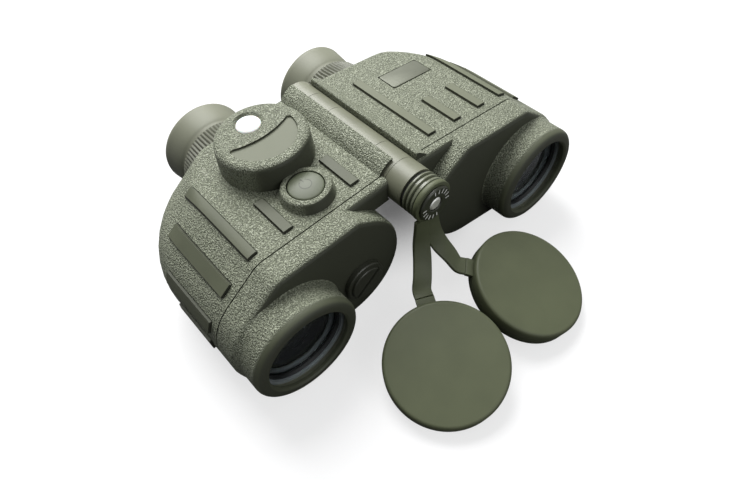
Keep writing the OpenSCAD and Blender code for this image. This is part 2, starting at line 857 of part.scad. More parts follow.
// Domed power button with its plunger and a cut ring and bar sign
module power_button() {
  b = boss_w - 2.6;
  t = boss_w + 0.9;
  color(soft)
    place(-1)
      translate([btn_u, btn_y, 0])
        difference() {
          union() {
            rotate_extrude()
              polygon([[0, b], [btn_r, b], [btn_r, boss_w - 0.3], [btn_r - 0.5, boss_w + 0.05],
                [btn_r * 0.72, t - 0.3], [btn_r * 0.36, t - 0.06], [0, t]]);
            translate([0, 0, 2.2])
              cylinder(r = 2.4, h = b - 2);
          }
          difference() {
            translate([0, 0, t - 0.4])
              cylinder(r = 2.7, h = 2);
            translate([0, 0, t - 0.6])
              cylinder(r = 2.2, h = 3);
            translate([-0.9, 0, t - 1])
              cube([1.8, 4, 3]);
          }
          translate([-0.25, 0.6, t - 0.4])
            cube([0.5, 2.6, 2]);
        }
}

// Circuit board on its two posts, with the switch under the button
module circuit_board() {
  color("darkgreen")
    place(-1)
      translate([btn_u - 6.4, btn_y - 7.9, -2.2])
        cube([20, 16, 1.2]);
}

module switch_body() {
  color("dimgray")
    place(-1) {
      translate([btn_u - 3, btn_y - 3, -1])
        cube([6, 6, 1.6]);
      translate([btn_u, btn_y, 0.5])
        cylinder(r = 1.4, h = 0.7, $fn = 32);
    }
}

module battery() {
  color(metal)
    place(-1)
      ycyl(bat_u, -bat_drop, bat_r, face_y + 5.6, face_y + 5.6 + bat_len);
}

module battery_contact() {
  color("goldenrod")
    place(-1)
      ycyl(bat_u, -bat_drop, bat_r - 0.6, face_y + 5.6 + bat_len, face_y + 5.6 + bat_len + 0.8);
}

// Battery cap with a stepped face and a coin slot, its plug reaching into the tube
module battery_cap() {
  y = face_y;
  color(soft)
    place(-1)
      difference() {
        yturn(bat_u, -bat_drop, [[0, y - 3.8], [bat_cap_r - 2, y - 3.8], [bat_cap_r - 1.7, y - 3.5],
          [bat_cap_r - 1.7, y - 2.6], [bat_cap_r - 0.4, y - 2.6], [bat_cap_r, y - 2.2],
          [bat_cap_r, y - 0.1], [bat_r + 0.14, y - 0.1], [bat_r + 0.14, y + 5.4], [0, y + 5.4]]);
        translate([bat_u, y - 4, -bat_drop])
          rotate([0, 35, 0])
            translate([-bat_cap_r, -1, -0.8])
              cube([2 * bat_cap_r, 2.6, 1.6]);
      }
}

module hinge_pin() {
  color(steel)
    on_hinge()
      ycyl(0, 0, pin_r, collar_y + 2, knuckle_e - 0.3);
}

module hinge_seal() {
  color(dark)
    on_hinge()
      yturn(0, 0, [[pin_r, front_air_y], [knuckle_r - 0.9, front_air_y], [knuckle_r - 0.5, front_air_y + seal_t / 2],
        [knuckle_r - 0.9, sleeve_y + 0.1], [pin_r, sleeve_y + 0.1]]);
}

// Ridged collar with the spigot that the strap hub turns on
module hinge_collar() {
  a = collar_y;
  b = front_air_y;
  p = (b - a) / 3;
  r = collar_r;
  color(soft)
    on_hinge()
      difference() {
        yturn(0, 0, [[0, hub_y + 0.1], [spigot_r, hub_y + 0.1], [spigot_r, a + 0.1], [r - 0.5, a + 0.1], [r, a + 0.5],
          [r, a + p - 0.6], [r - 1, a + p - 0.2], [r - 1, a + p + 0.4], [r, a + p + 0.8],
          [r, a + 2 * p - 0.4], [r - 1, a + 2 * p], [r - 1, a + 2 * p + 0.6], [r, a + 2 * p + 1],
          [r, b - 0.4], [r - 0.4, b], [0, b]]);
        ycyl(0, 0, pin_r, a + 2, b + 1);
        ycyl(0, 0, 2, 0, a + 3);
      }
}

// End disc with tick marks, held by the centre screw
module hinge_disc() {
  r = disc_r;
  y = disc_y;
  color(soft)
    on_hinge()
      difference() {
        yturn(0, 0, [[2, y + 1], [3.2, y + 0.9], [3.2, y + 0.3], [3.6, y], [r - 0.5, y], [r, y + 0.5],
          [r, y + disc_t], [2, y + disc_t]]);
      }
}

module centre_screw() {
  y = disc_y;
  color(steel)
    on_hinge()
      yturn(0, 0, [[0, y + 0.1], [2.2, y + 0.1], [2.9, y + 0.5], [2.9, y + 0.92], [2, y + 1],
        [2, collar_y + 1.9], [0, collar_y + 1.9]]);
}

// Smooth value between b and c of four route values
function smooth(a, b, c, d, t) =
  (2 * b + (c - a) * t + (2 * a - 5 * b + 4 * c - d) * t * t + (3 * b - a - 3 * c + d) * t * t * t) / 2;
function route_at(r, x) =
  let (n = len(r), i = min(n - 2, floor(x)), t = x - i)
  smooth(r[max(0, i - 1)], r[i], r[i + 1], r[min(n - 1, i + 2)], t);
function unit(v) = v / norm(v);

// Flat strap swept along a route of [centre, width direction] pairs, with cuts steps a leg
module ribbon(r, wide, thick, cuts) {
  n = (len(r) - 1) * cuts + 1;
  c = [for (q = r) q[0]];
  w = [for (q = r) unit(q[1])];
  rows = [for (i = [0 : n - 1])
    let (x = i / cuts,
      p = route_at(c, x),
      v = unit(route_at(c, min(len(r) - 1, x + 0.02)) - route_at(c, max(0, x - 0.02))),
      t = unit(cross(v, route_at(w, x))),
      s = cross(t, v) * wide / 2,
      h = t * thick / 2)
    [p - s - h, p + s - h, p + s + h, p - s + h]];
  polyhedron(
    points = [for (q = rows, p = q) p],
    faces = concat(
      [[0, 1, 2, 3]],
      [[4 * n - 1, 4 * n - 2, 4 * n - 3, 4 * n - 4]],
      [for (i = [0 : n - 2], k = [0 : 3]) [4 * i + k, 4 * i + 4 + k, 4 * i + 4 + (k + 1) % 4]],
      [for (i = [0 : n - 2], k = [0 : 3]) [4 * i + k, 4 * i + 4 + (k + 1) % 4, 4 * i + (k + 1) % 4]]),
    convexity = 6);
}

// Cap frame: x towards the strap, z out of the closed face; the low edge of the skirt touches z = 0
function cap_z(tilt) = cap_h * cos(tilt) + cap_r * sin(tilt);
function about_z(v, a) = [v[0] * cos(a) - v[1] * sin(a), v[0] * sin(a) + v[1] * cos(a), v[2]];
function about_y(v, a) = [v[0] * cos(a) + v[2] * sin(a), v[1], v[2] * cos(a) - v[0] * sin(a)];
function cap_turn(v, c) = about_z(about_y(about_z(v, c[4]), c[2]), c[3]);
// Point of a cap, seen from the hinge axis; c is [x, y, tilt, direction, spin]
function cap_point(v, c) = [c[0], c[1], cap_z(c[2]) - lift] + cap_turn(v, c);
module cap_frame(c) {
  translate([c[0], c[1] - mid_y, cap_z(c[2])])
    rotate([0, 0, c[3]])
      rotate([0, c[2], 0])
        rotate([0, 0, c[4]])
          children();
}

module cap_form() {
  e = cap_edge;
  i = tube_r + 0.15;
  rotate_extrude()
    polygon(concat([[0, -cap_t - 0.4], [i - 0.6, -cap_t - 0.4], [i, -cap_t - 1], [i, -cap_h], [cap_r, -cap_h]],
      [for (t = [0 : 18 : 90]) [cap_r - e + e * cos(t), -e + e * sin(t)]],
      [[0, 0]]));
}

// Tab on the skirt with the round bending end that meets the strap's end
module cap_tab() {
  translate([cap_r - cap_t / 2, -strap_w / 2, tab_z - strap_t / 2])
    cube([tab_end + cap_t / 2, strap_w, strap_t]);
  translate([cap_r + tab_end, strap_w / 2, tab_z])
    rotate([90, 0, 0])
      cylinder(r = strap_t / 2, h = strap_w, $fn = 32);
}

module left_cap() {
  color(soft)
    cap_frame(cap_at_l) {
      cap_form();
      cap_tab();
    }
}

module right_cap() {
  color(soft)
    cap_frame(cap_at_r) {
      cap_form();
      cap_tab();
    }
}

// Strap route from the hub to a cap, seen from the hinge axis; its last leg runs square into the cap's tab
function cap_leg(c) = [for (x = [tab_end + 4.4, tab_end + strap_t / 2 + 0.3])
  [cap_point([cap_r + x, 0, tab_z], c), cap_turn([0, 1, 0], c)]];
hub_mid = (hub_y + collar_y) / 2;
left_route = concat([
  [[-4.4, hub_mid, -7.2], [-1, 0, 0]],
  [[-4.6, hub_mid, -13], [-1, 0, 0.1]],
  [[-5.4, hub_mid - 1, -20], [-1, 0.2, 0.2]],
  [[-7.8, 1.2, -26.6], [-0.85, 0.45, 0.25]],
  [[-11.4, -2.8, -31.8], [-0.9, 0.45, 0.1]]],
  cap_leg(cap_at_l));
right_route = concat([
  [[0.6, hub_mid, -7.2], [-1, 0, 0]],
  [[0.8, hub_mid, -13], [-1, 0, 0]],
  [[1.4, 4.2, -19.4], [-1, 0.1, 0]],
  [[2.5, 1.2, -24.6], [-1, 0.1, 0]],
  [[4, -3.4, -29.2], [-0.9, -0.3, -0.05]]],
  cap_leg(cap_at_r));

module cap_strap() {
  color(soft)
    on_hinge()
      difference() {
        union() {
          ycyl(0, 0, collar_r + 0.2, hub_y + 0.1, collar_y - 0.1);
          ribbon(left_route, strap_w, strap_t, 3);
          ribbon(right_route, strap_w, strap_t - 0.1, 3);
        }
        ycyl(0, 0, spigot_r + run_c, hub_y - 1, collar_y + 1);
      }
}

left_armour();
right_armour();
left_front_armour();
right_front_armour();
left_housing();
right_housing();
left_prism_shelf();
right_prism_shelf();
left_rear_prism();
right_rear_prism();
left_front_prism();
right_front_prism();
left_objective_cell();
right_objective_cell();
left_objective_glass();
right_objective_glass();
left_objective_ring();
right_objective_ring();
left_eye_barrel();
right_eye_barrel();
left_focus_ring();
right_focus_ring();
left_ocular_tube();
right_ocular_tube();
left_eyecup();
right_eyecup();
left_eye_glass();
right_eye_glass();
left_field_glass();
right_field_glass();
reticle_plate();
nameplate();
compass_dome();
compass_bowl();
compass_window();
compass_card();
compass_pivot();
power_button();
switch_body();
circuit_board();
battery();
battery_cap();
battery_contact();
hinge_pin();
hinge_seal();
hinge_collar();
hinge_disc();
centre_screw();
cap_strap();
left_cap();
right_cap();
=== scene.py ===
from math import atan2, cos, pi, radians, sin

import bmesh
import bpy
from mathutils import Matrix, Vector


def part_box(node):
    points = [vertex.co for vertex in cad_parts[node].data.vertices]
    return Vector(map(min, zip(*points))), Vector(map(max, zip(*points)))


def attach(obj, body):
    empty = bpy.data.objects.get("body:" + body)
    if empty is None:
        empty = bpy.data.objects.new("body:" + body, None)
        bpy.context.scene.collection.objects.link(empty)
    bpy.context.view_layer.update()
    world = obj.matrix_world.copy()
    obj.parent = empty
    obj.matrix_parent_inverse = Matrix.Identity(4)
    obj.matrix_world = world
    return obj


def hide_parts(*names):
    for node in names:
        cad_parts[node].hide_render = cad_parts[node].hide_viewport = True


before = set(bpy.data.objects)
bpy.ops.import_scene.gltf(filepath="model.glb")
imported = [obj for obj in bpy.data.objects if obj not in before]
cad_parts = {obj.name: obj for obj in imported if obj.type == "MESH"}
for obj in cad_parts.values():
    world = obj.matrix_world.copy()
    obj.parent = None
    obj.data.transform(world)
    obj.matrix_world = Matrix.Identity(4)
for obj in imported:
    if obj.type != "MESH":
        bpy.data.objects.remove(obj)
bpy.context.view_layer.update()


# Camera: a short lens a forearm's length in front of the binoculars, above their compass side, as in
# the photograph. The three rows are its right, up and backward directions.
right = Vector((0.75074, -0.65970, -0.03427))
up = Vector((0.52875, 0.56900, 0.62982))
back = Vector((-0.39599, -0.49095, 0.77599))
camera_data = bpy.data.cameras.new("camera")
camera_data.lens = 29.313
camera_data.sensor_width = 36
camera_data.clip_start = 0.01
camera = bpy.data.objects.new("camera", camera_data)
turn = Matrix((right, up, back)).transposed().to_4x4()
camera.matrix_world = Matrix.Translation((-0.119011, -0.135273, 0.226084)) @ turn
bpy.context.scene.collection.objects.link(camera)
bpy.context.scene.camera = camera
bpy.context.scene.view_settings.view_transform = "Standard"


# Lamps: a softbox high behind the right side, which lays a pale sheen on the tops, a wide one overhead
# and a weak one in front that fills the walls of the drum and the front faces.
LAMPS = (
    ("back_softbox", (0.40, 0.64, 0.60), 0.34, 3.0, (1.0, 0.99, 0.97)),
    ("top_softbox", (0.12, 0.53, 0.84), 0.60, 14.0, (1.0, 1.0, 1.0)),
    ("front_softbox", (0.06, -0.75, 0.50), 0.50, 2.2, (0.98, 0.99, 1.0)),
)
LAMP_AIM = Vector((0, 0, 0.03))
for name, place, wide, power, colour in LAMPS:
    lamp_data = bpy.data.lights.new(name, "AREA")
    lamp_data.shape = "SQUARE"
    lamp_data.size = wide
    lamp_data.energy = power
    lamp_data.color = colour
    lamp = bpy.data.objects.new(name, lamp_data)
    lamp.location = place
    lamp.rotation_euler = (LAMP_AIM - Vector(place)).to_track_quat("-Z", "Y").to_euler()
    bpy.context.scene.collection.objects.link(lamp)


# Studio paper: a pale matt sheet that runs out of the picture on every side and keeps a soft shadow.
# The camera sees it nearly white, with less glow below the hinge: a painted shadow that lets the real
# shade there show darker. Metal and glass see it dark close to the object, a painted shade in their
# reflections, and it throws little light back.
class Wire:
    """One socket of a finish. Sums on it add Math nodes, and node() adds a node of any other kind."""

    def __init__(self, socket):
        self.socket = socket

    def node(self, kind, settings=(), sockets=(), out=0):
        made = self.socket.id_data.nodes.new("ShaderNode" + kind)
        for key, value in dict(settings).items():
            setattr(made, key, value)
        for key, value in dict(sockets).items():
            if isinstance(value, Wire):
                value.into(made, key)
            else:
                made.inputs[key].default_value = value
        return Wire(made.outputs[out])

    def into(self, node, key):
        self.socket.id_data.links.new(self.socket, node.inputs[key])

    def calc(self, operation, *others):
        return self.node("Math", {"operation": operation}, dict(enumerate((self, *others))))

    def __add__(self, other):
        return self.calc("ADD", other)

    def __radd__(self, other):
        return self.calc("ADD", other)

    def __sub__(self, other):
        return self.calc("SUBTRACT", other)

    def __rsub__(self, other):
        return self.node("Math", {"operation": "SUBTRACT"}, {0: other, 1: self})

    def __mul__(self, other):
        return self.calc("MULTIPLY", other)

    def __truediv__(self, other):
        return self.calc("DIVIDE", other)

    def __abs__(self):
        return self.calc("ABSOLUTE")

    def least(self, other):
        return self.calc("MINIMUM", other)

    def most(self, other):
        return self.calc("MAXIMUM", other)

    def fade(self, start, end):
        """0 before start and 1 after end, soft between them."""
        return self.node("MapRange", {"interpolation_type": "SMOOTHSTEP"},
                         {"Value": self, "From Min": start, "From Max": end})

    def blend(self, colour, other):
        """colour where this is 0 and other where it is 1."""
        return self.node("Mix", {"data_type": "RGBA"}, {0: self, 6: colour, 7: other}, out=2)

    def noise(self, scale, detail):
        return self.node("TexNoise", (), {"Vector": self, "Scale": scale, "Detail": detail})

    def bump(self, shader, strength, depth):
        """Raises a finish's surface where this is high, by up to depth metres."""
        relief = self.node("Bump", (), {"Height": self, "Strength": strength, "Distance": depth})
        relief.into(shader, "Normal")

    def vector(self, operation, *others):
        return self.node("VectorMath", {"operation": operation}, dict(enumerate((self, *others))))

    def length(self):
        return Wire(self.vector("LENGTH").socket.node.outputs["Value"])

    def parts(self):
        made = self.node("SeparateXYZ", (), {0: self})
        return [Wire(s) for s in made.socket.node.outputs]


def grey(level):
    return level, level, level, 1


def new_finish(name):
    """A material, its shader and the piece's own coordinates."""
    material = bpy.data.materials.new(name)
    material.use_nodes = True
    nodes = material.node_tree.nodes
    places = nodes.new("ShaderNodeTexCoord")
    return material, nodes["Principled BSDF"], Wire(places.outputs["Object"])


def ray_kinds(at):
    """1 for the camera's rays, and 1 for the rays that metal and glass send on."""
    rays = at.node("LightPath").socket.node.outputs
    sent_on = Wire(rays["Is Glossy Ray"]).most(Wire(rays["Is Transmission Ray"]))
    return Wire(rays["Is Camera Ray"]), sent_on


PAPER_R = 4
HINGE_SHADOW_MIDDLE = (0.022, 0.035, 0)
paper_mesh = bmesh.new()
bmesh.ops.create_circle(paper_mesh, cap_ends=True, segments=96, radius=PAPER_R)
bmesh.ops.inset_region(paper_mesh, faces=paper_mesh.faces[:], thickness=PAPER_R * 0.7)
paper_data = bpy.data.meshes.new("paper")
paper_mesh.to_mesh(paper_data)
paper = bpy.data.objects.new("paper", paper_data)
bpy.context.scene.collection.objects.link(paper)
paper_finish, paper_shader, at = new_finish("studio_paper")
paper_shader.inputs["Roughness"].default_value = 1
paper_shader.inputs["Specular IOR Level"].default_value = 0
from_camera, mirrored = ray_kinds(at)
# Metal and glass see the paper darker close to the object: painted shade in their reflections.
seen = from_camera.most(mirrored * (0.02 + at.length().fade(0.08, 0.6) * 0.6))
sheet = at.noise(900.0, 2.0).blend((0.97, 0.97, 0.975, 1), grey(1))
seen.blend(grey(0.07), sheet).into(paper_shader, "Base Color")
# Less glow under the hinge: a painted shadow there, which lets the real shade show darker.
outside_painted_shadow = at.vector("SUBTRACT", HINGE_SHADOW_MIDDLE).length().fade(0.02, 0.065)
glow = at.node("Emission", (), {"Color": grey(1), "Strength": 1.0})
lit = at.node("MixShader", (), {0: seen * (0.12 + outside_painted_shadow * 0.57), 1: Wire(paper_shader.outputs[0]),
                                2: glow})
lit.into(paper_finish.node_tree.nodes["Material Output"], "Surface")
paper_data.materials.append(paper_finish)

room = bpy.data.worlds.new("room")
room.use_nodes = True
bpy.context.scene.world = room
at = Wire(room.node_tree.nodes.new("ShaderNodeTexCoord").outputs["Generated"])
x, y, z = at.parts()
height = (x * 0.34 + y * 0.36 + z * 0.87).fade(0.0, 1.0)
dim = height.blend(grey(0.012), (0.52, 0.53, 0.55, 1))
sheen = height.blend(grey(0.36), grey(1))
from_camera, mirrored = ray_kinds(at)
walls = from_camera.blend(mirrored.blend(dim, sheen), grey(1))
walls.into(room.node_tree.nodes["Background"], "Color")


# Prism housings: two die-cast aluminium bodies under satin olive paint, with the hinge knuckles, the
# beams beside them and the objective barrels in one piece. Only knuckles and beams show between the
# rubber.
mm = 0.001


def shade(red, green, blue):
    """A colour as a photograph's numbers, 0 to 255, made linear for a socket."""
    return (*[c / 3294.6 if c <= 10 else ((c / 255 + 0.055) / 1.055) ** 2.4
              for c in (red, green, blue)], 1)


def dress(finish, *nodes):
    """Gives CAD nodes a finish."""
    for node in nodes:
        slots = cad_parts[node].data.materials
        slots.clear()
        slots.append(finish)


def cast_paint():
    finish, shader, at = new_finish("cast_paint")
    drift = at.noise(60.0, 3.0)
    drift.fade(0.35, 0.65).blend(shade(98, 100, 82), shade(108, 110, 92)).into(shader, "Base Color")
    (0.42 + drift * 0.10).into(shader, "Roughness")
    at.noise(1600.0, 2.0).bump(shader, 0.25, 0.02 * mm)
    return finish


dress(cast_paint(), "left_housing", "right_housing")


# Prisms: two crown glass porro prisms a side on a machined aluminium shelf, ground on their sides.
# They are sealed inside the housings and show only down the objectives.
def bare_metal(name, colour, rough, streak):
    """Turned or milled bare metal; streak is how far its fine lines run along y."""
    finish, shader, at = new_finish(name)
    lines = at.node("Mapping", (), {"Vector": at, "Scale": (1, streak, 1)}).noise(2500.0, 3.0)
    shader.inputs["Metallic"].default_value = 1
    dull = [c * 0.8 for c in colour[:3]] + [1]
    lines.blend(dull, colour).into(shader, "Base Color")
    (rough + lines * 0.15).into(shader, "Roughness")
    lines.bump(shader, 0.2, 0.01 * mm)
    return finish


def optical_glass(name, tint, rough=0.02):
    finish, shader, at = new_finish(name)
    dust = at.noise(700.0, 4.0)
    shader.inputs["Transmission Weight"].default_value = 1
    shader.inputs["IOR"].default_value = 1.52
    dusty = [c * 0.97 for c in tint[:3]] + [1]
    dust.fade(0.5, 0.8).blend(tint, dusty).into(shader, "Base Color")
    (rough + dust.fade(0.62, 0.8) * 0.05).into(shader, "Roughness")
    return finish


SIDES = (("left", -1), ("right", 1))
aluminium = bare_metal("machined_aluminium", shade(205, 206, 205), 0.32, 0.02)
prism_glass = optical_glass("prism_glass", (0.16, 0.17, 0.17, 1), 0.06)
for half, _ in SIDES:
    dress(aluminium, f"{half}_prism_shelf")
    dress(prism_glass, f"{half}_rear_prism", f"{half}_front_prism")


# Objectives: a coated glass in an anodised cell, held by a thin black ring. The coating leaves only a
# faint blue green sheen. The cell is painted pale grey, a painted sheen that shows through the glass in
# place of light caught on the barrel's dark wall. Behind the glass the barrel is lined with fine baffle
# threads, which swallow stray light.
HINGE_Z = (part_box("hinge_pin")[0].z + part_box("hinge_pin")[1].z) / 2
FRONT_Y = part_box("hinge_disc")[0].y - 3 * mm
FOLD = radians(3.6)
OBJECTIVE_U, OBJECTIVE_W = 69.4, -25.6
LINING_R, LINING_OUTSIDE, THREAD_TOP, THREAD_PITCH = 17.2, 17.7, 16.4, 1.6
LINING_START, LINING_END, THREADS = 16.0, 39.4, 14


def black_metal(name, low, high):
    """Anodised metal between two shades."""
    finish, shader, at = new_finish(name)
    speck = at.noise(1800.0, 3.0)
    shader.inputs["Metallic"].default_value = 0.4
    speck.blend(low, high).into(shader, "Base Color")
    (0.26 + speck * 0.14).into(shader, "Roughness")
    speck.bump(shader, 0.2, 0.01 * mm)
    return finish


def coated_glass(name, sheen):
    """Lens glass: its body takes a little light in, and the coating tints what comes back."""
    finish, shader, at = new_finish(name)
    dust = at.noise(90.0, 3.0)
    shader.inputs["Transmission Weight"].default_value = 1
    shader.inputs["IOR"].default_value = 1.5
    shader.inputs["Specular Tint"].default_value = sheen
    dust.blend((0.88, 0.93, 0.94, 1), (0.90, 0.95, 0.96, 1)).into(shader, "Base Color")
    (0.01 + dust.fade(0.60, 0.8) * 0.02).into(shader, "Roughness")
    return finish


def flat_black():
    finish, shader, at = new_finish("flat_black_paint")
    soot = at.noise(2200.0, 2.0)
    soot.blend(shade(6, 6, 6), shade(13, 13, 14)).into(shader, "Base Color")
    (0.85 + soot * 0.1).into(shader, "Roughness")
    shader.inputs["Specular IOR Level"].default_value = 0.15
    return finish


def stand(side):
    """Places a half's own millimetres: out from the hinge, back from the objectives and up."""
    c, s = cos(FOLD), sin(FOLD)
    folded = Matrix(((side * c, 0, side * s, 0), (0, 1, 0, 0), (-s, 0, c, 0), (0, 0, 0, 1)))
    return Matrix.Translation((0, FRONT_Y, HINGE_Z)) @ folded @ Matrix.Scale(mm, 4)


def turned(profile, axis_u, axis_w, steps=96, closed=True):
    """A ring or disc in millimetres, spun about an axis along y; profile points are (radius, y)."""
    bm = bmesh.new()
    row = [bm.verts.new((axis_u + r, y, axis_w)) for r, y in profile]
    chain = [bm.edges.new(pair) for pair in zip(row, row[1:] + (row[:1] if closed else []))]
    bmesh.ops.spin(bm, geom=row + chain, cent=(axis_u, 0, axis_w), axis=(0, 1, 0), dvec=(0, 0, 0),
                   angle=2 * pi, steps=steps, use_merge=True, use_duplicate=False)
    bmesh.ops.remove_doubles(bm, verts=bm.verts, dist=0.001)
    return bm


def piece(name, bm, place, body, finish, hides=(), sharp=40):
    """Makes a piece of a mesh, puts it in place and lets it ride on its body."""
    bm.transform(place)
    bmesh.ops.recalc_face_normals(bm, faces=bm.faces)
    data = bpy.data.meshes.new(name)
    bm.to_mesh(data)
    bm.free()
    data.materials.append(finish)
    data.shade_smooth()
    data.set_sharp_from_angle(angle=radians(sharp))
    made = bpy.data.objects.new(name, data)
    bpy.context.scene.collection.objects.link(made)
    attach(made, body)
    if hides:
        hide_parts(*hides)
    return made


anodised = black_metal("black_anodised", shade(24, 26, 26), shade(44, 47, 47))
# The cell's pale grey is a painted sheen that shows through the objective glass.
cell_painted_sheen = black_metal("pale_anodised_painted_sheen", shade(150, 158, 160), shade(162, 170, 172))
lining = flat_black()
objective_glass = coated_glass("coated_objective_glass", (0.75, 0.92, 1.0, 1))
for half, side in SIDES:
    dress(cell_painted_sheen, f"{half}_objective_cell")
    dress(anodised, f"{half}_objective_ring")
    dress(objective_glass, f"{half}_objective_glass")
    threads = [(LINING_R, LINING_START)]
    for k in range(THREADS):
        foot = LINING_START + 0.6 + THREAD_PITCH * k
        threads += [(LINING_R, foot), (THREAD_TOP, foot + 0.4), (LINING_R, foot + 1.0)]
    threads += [(LINING_R, LINING_END), (LINING_OUTSIDE, LINING_END), (LINING_OUTSIDE, LINING_START)]
    bm = turned(threads, OBJECTIVE_U, OBJECTIVE_W)
    piece(f"{half}_baffle_threads", bm, stand(side), f"{half}_half", lining)


# Rubber armour: olive rubber moulded over each housing, 2 mm thick, in a long main piece and a front
# piece that meet at a fine seam. Its skin has a pebbled grain, while ribs, crescent and front faces are
# smooth. Some of its colour is painted light: front faces are painted darker as shade, the pebbles
# lighter and their grooves darker, the groove round each rib dark, and the right side's ribs paler.
# A top rib is its inner edge and its ends, a side rib its middle, facing, width and ends.
TOP_W = 5.6
RIB_WIDE = 4.3
TOP_RIBS = {"left": ((65.2, 29.6, 75.5), (48.6, 29.6, 49.2), (16.0, 29.6, 49.2)),
            "right": ((22.0, 29.8, 78.3), (37.4, 29.6, 49.2), (52.6, 29.6, 49.2), (66.3, 29.2, 75.3))}
SIDE_RIBS = ((81.1, -2.9, 52, 6.0, 29.6, 70.0), (92.6, -15.3, 24, 6.0, 29.4, 61.3),
             (94.8, -25.5, 0, 6.0, 29.4, 52.5))
GRAIN = 0.60 * mm
DRUM_U, DRUM_Y, DRUM_TOP = 33.4, 67.6, 17.8
CRESCENT_R, CRESCENT_BEHIND, CRESCENT_INNER_R = 15, 32, 34


def body_axes(at, side):
    """A finish's coordinates as a half's own millimetres: out, back and up."""
    x, y, z = at.vector("SUBTRACT", (0, FRONT_Y, HINGE_Z)).vector("MULTIPLY", (1000,) * 3).parts()
    c, s = cos(FOLD), sin(FOLD)
    return x * (side * c) - z * s, y, x * (side * s) + z * c


def radius(across, along):
    return (across * across + along * along).calc("SQRT")


def rib_distance(axes, half):
    """How far outside the nearest grip rib a point lies, in millimetres; below 0 on the rib."""
    u, y, w = axes
    top_ribs = [(a + RIB_WIDE / 2, TOP_W, 90, RIB_WIDE, b, c) for a, b, c in TOP_RIBS[half]]
    nearest = None
    for rib_u, rib_w, facing, wide, start, end in top_ribs + list(SIDE_RIBS):
        c, s = cos(radians(facing)), sin(radians(facing))
        across = abs((w - rib_w) * c - (u - rib_u) * s) - wide / 2
        along = abs(y - (start + end) / 2) - (end - start) / 2
        below = -3 - ((u - rib_u) * c + (w - rib_w) * s)
        distance = across.most(along).most(below)
        nearest = distance if nearest is None else nearest.least(distance)
    return nearest


def drum_crescent(axes):
    """1 on the smooth crescent of the compass drum's top."""
    u, y, w = axes
    out, behind = u - DRUM_U, y - DRUM_Y
    past_edge = radius(out, behind) - CRESCENT_R
    past_bite = CRESCENT_INNER_R - radius(out, behind - CRESCENT_BEHIND)
    inside = 1 - past_edge.most(past_bite).fade(-0.3, 0.0)
    return inside * w.fade(DRUM_TOP - 2.2, DRUM_TOP - 1.6)


def pebbles(at, size):
    """A pebbled grain, 0 in its grooves and 1 on its pebbles, which are about size metres wide."""
    coarse = at.node("TexNoise", (), {"Vector": at, "Scale": 1 / size, "Detail": 1.5,
                                      "Roughness": 0.6})
    cells = at.node("TexVoronoi", (), {"Vector": at, "Scale": 0.8 / size})
    return coarse.fade(0.36, 0.62) * 0.65 + (1 - cells.fade(0.1, 0.75)) * 0.35


def rubber_skin(half, side):
    """Armour rubber; the right side's ribs are painted a little paler, a painted highlight where its
    light falls flatter.
    """
    finish, shader, at = new_finish(f"{half}_armour_rubber")
    axes = body_axes(at, side)
    rib = rib_distance(axes, half)
    on_rib = 1 - rib.fade(0.0, 0.25)
    normal = at.node("TexCoord", (), (), out=1).parts()
    front_smooth_painted_dark = (0 - normal[1]).fade(0.55, 0.85)
    smooth = on_rib.most(front_smooth_painted_dark).most(1 - axes[1].fade(2.4, 4.2))
    drift = at.noise(45.0, 3.0)
    plain = drift.fade(0.3, 0.7).blend(shade(68, 72, 54), shade(76, 80, 61))
    # The right side's ribs are painted paler: painted light.
    if half == "right":
        plain = on_rib.blend(plain, shade(92, 96, 76))
    # Faces turned to the front are painted darker: painted shade, as the light comes from behind.
    plain = front_smooth_painted_dark.blend(plain, shade(52, 55, 42))
    if half == "left":
        crescent = drum_crescent(axes)
        smooth = smooth.most(crescent)
        plain = crescent.blend(plain, shade(94, 98, 79))
    grain = pebbles(at, GRAIN) * (1 - smooth)
    # A fine groove runs round each rib's foot; it is bumped in, and its dark colour is painted shade in
    # the crease.
    groove = 1 - abs(rib - 0.18).fade(0.1, 0.32)
    # The pebbles are painted lighter and the grooves between them darker: painted highlight and shade on
    # the grain's relief.
    grain_painted_light = grain.blend(shade(76, 81, 63), shade(152, 157, 136))
    (groove * 0.75).blend(smooth.blend(grain_painted_light, plain), shade(34, 36, 26)).into(shader, "Base Color")
    (0.60 - grain * 0.26 + drift * 0.08).into(shader, "Roughness")
    shader.inputs["Specular IOR Level"].default_value = 0.5
    (grain - groove).bump(shader, 1.0, 0.5 * mm)
    return finish


def moulding(node):
    """A copy of a CAD moulding in one skin, in metres, with its flat faces whole."""
    bm = bmesh.new()
    bm.from_mesh(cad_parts[node].data)
    bmesh.ops.remove_doubles(bm, verts=bm.verts, dist=0.05 * mm)
    bmesh.ops.dissolve_limit(bm, angle_limit=radians(0.8), verts=bm.verts, edges=bm.edges)
    return bm


def round_off(bm, edges, width, steps, clamp=False):
    """Bevels edges with a round profile."""
    bmesh.ops.bevel(bm, geom=edges, offset=width, offset_type="OFFSET", segments=steps, profile=0.5,
                    affect="EDGES", clamp_overlap=clamp, material=-1)


def soften(bm, width, steps, over):
    """Rounds the edges of a piece that are sharper than over degrees."""
    edges = [e for e in bm.edges if len(e.link_faces) == 2 and e.calc_face_angle() > radians(over)]
    round_off(bm, edges, width, steps, clamp=True)


for half, side in SIDES:
    skin = rubber_skin(half, side)
    for part in ("armour", "front_armour"):
        bm = moulding(f"{half}_{part}")
        soften(bm, 0.3 * mm, 2, 40)
        made = piece(f"{half}_{part}_moulding", bm, Matrix.Identity(4), f"{half}_half", skin,
                     [f"{half}_{part}"], sharp=50)
        made.modifiers.new("even_shading", "WEIGHTED_NORMAL").keep_sharp = True


